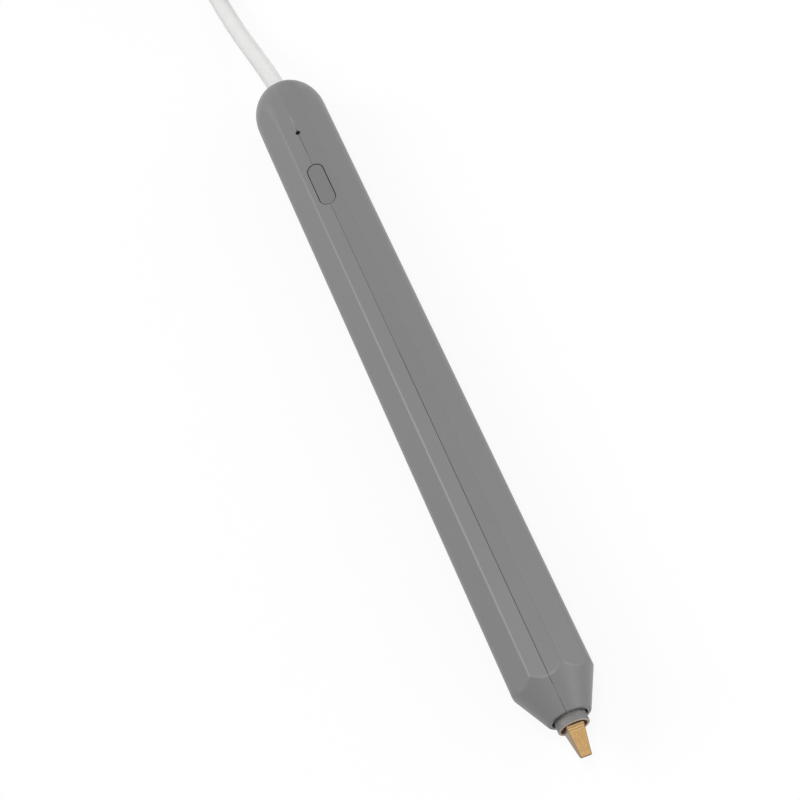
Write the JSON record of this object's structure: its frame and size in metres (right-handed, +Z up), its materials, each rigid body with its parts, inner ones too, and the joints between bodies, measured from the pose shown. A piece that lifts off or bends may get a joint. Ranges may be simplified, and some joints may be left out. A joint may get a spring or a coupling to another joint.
{
  "type": "hot foil pen",
  "caption": "Corded hot foil pen: eight-sided split barrel with a cone nose, heated brass nib in a collar, flush oval power button, pinhole status light and a cable with a plug.",
  "frame": {"origin": "bottom centre of the pen's box, without the cable, on the flat that it lies on", "axes": "+Y along the pen from the nib to the cable end, +Z up out of the button, +X to the right seen from above with the nib towards the viewer"},
  "size_m": [0.0416, 0.3139, 0.0257],
  "materials": {
    "casing_plastic": "fine satin grain",
    "button_plastic": "satin",
    "nib_brass": "lightly polished",
    "collar_steel": "turned, slightly rough",
    "white_ceramic": "bisque",
    "bush_plastic": "moulded",
    "lead_wire": "drawn wire",
    "bead_glass": "clear amber",
    "board_laminate": "solder mask",
    "tinned_metal": "tinned",
    "black_package": "moulded",
    "capacitor_can": "drawn can",
    "resistor_body": "glazed top",
    "switch_metal": "stamped sheet",
    "light_clear": "dark smoked",
    "led_package": "resin",
    "cable_jacket": "smooth satin",
    "wire_red": "smooth",
    "wire_black": "smooth",
    "tie_strap": "woven strap",
    "plug_plastic": "moulded",
    "plug_steel": "nickel plated",
    "tongue_plastic": "moulded",
    "contact_gold": "gold flash"
  },
  "bodies": {
    "pen": {"left_casing": "casing_plastic", "right_casing": "casing_plastic", "nib": "nib_brass", "tip_collar": "collar_steel", "insulating_sleeve": "white_ceramic", "heater_core": "white_ceramic", "retainer_bush": "bush_plastic", "heater_leads": "lead_wire", "thermistor": "bead_glass", "thermistor_leads": "lead_wire", "control_board": "board_laminate", "solder_pads": "tinned_metal", "controller_chip": "black_package", "chip_legs": "tinned_metal", "power_transistor": "black_package", "transistor_tabs": "tinned_metal", "capacitor": "capacitor_can", "resistors": "resistor_body", "switch_base": "black_package", "switch_cover": "switch_metal", "switch_dome": "switch_metal", "switch_terminals": "tinned_metal", "status_led": "led_package", "light_pipe": "light_clear", "cable_anchor": "cable_jacket", "power_wire_red": "wire_red", "power_wire_black": "wire_black", "cable_lead": "cable_jacket", "cable_hank": "cable_jacket", "hank_tie": "tie_strap", "usb_overmould": "plug_plastic", "usb_shell": "plug_steel", "usb_tongue": "tongue_plastic", "usb_contacts": "contact_gold"},
    "button": {"power_button": "button_plastic"},
    "plunger": {"switch_plunger": "black_package"}
  },
  "joints": [
    {"name": "power_button_press", "type": "slide", "parent": "pen", "child": "button", "axis": [0, 0, -1], "range_m": [0, 0.00035], "stiffness_N_per_m": 1500, "springref_m": -0.0002},
    {"name": "switch_plunger_press", "type": "slide", "parent": "pen", "child": "plunger", "axis": [0, 0, -1], "range_m": [0, 0.00035], "deforming": ["switch_dome"]}
  ],
  "couplings": [
    {"joint": "switch_plunger_press", "follows": "power_button_press", "ratio": 1}
  ]
}
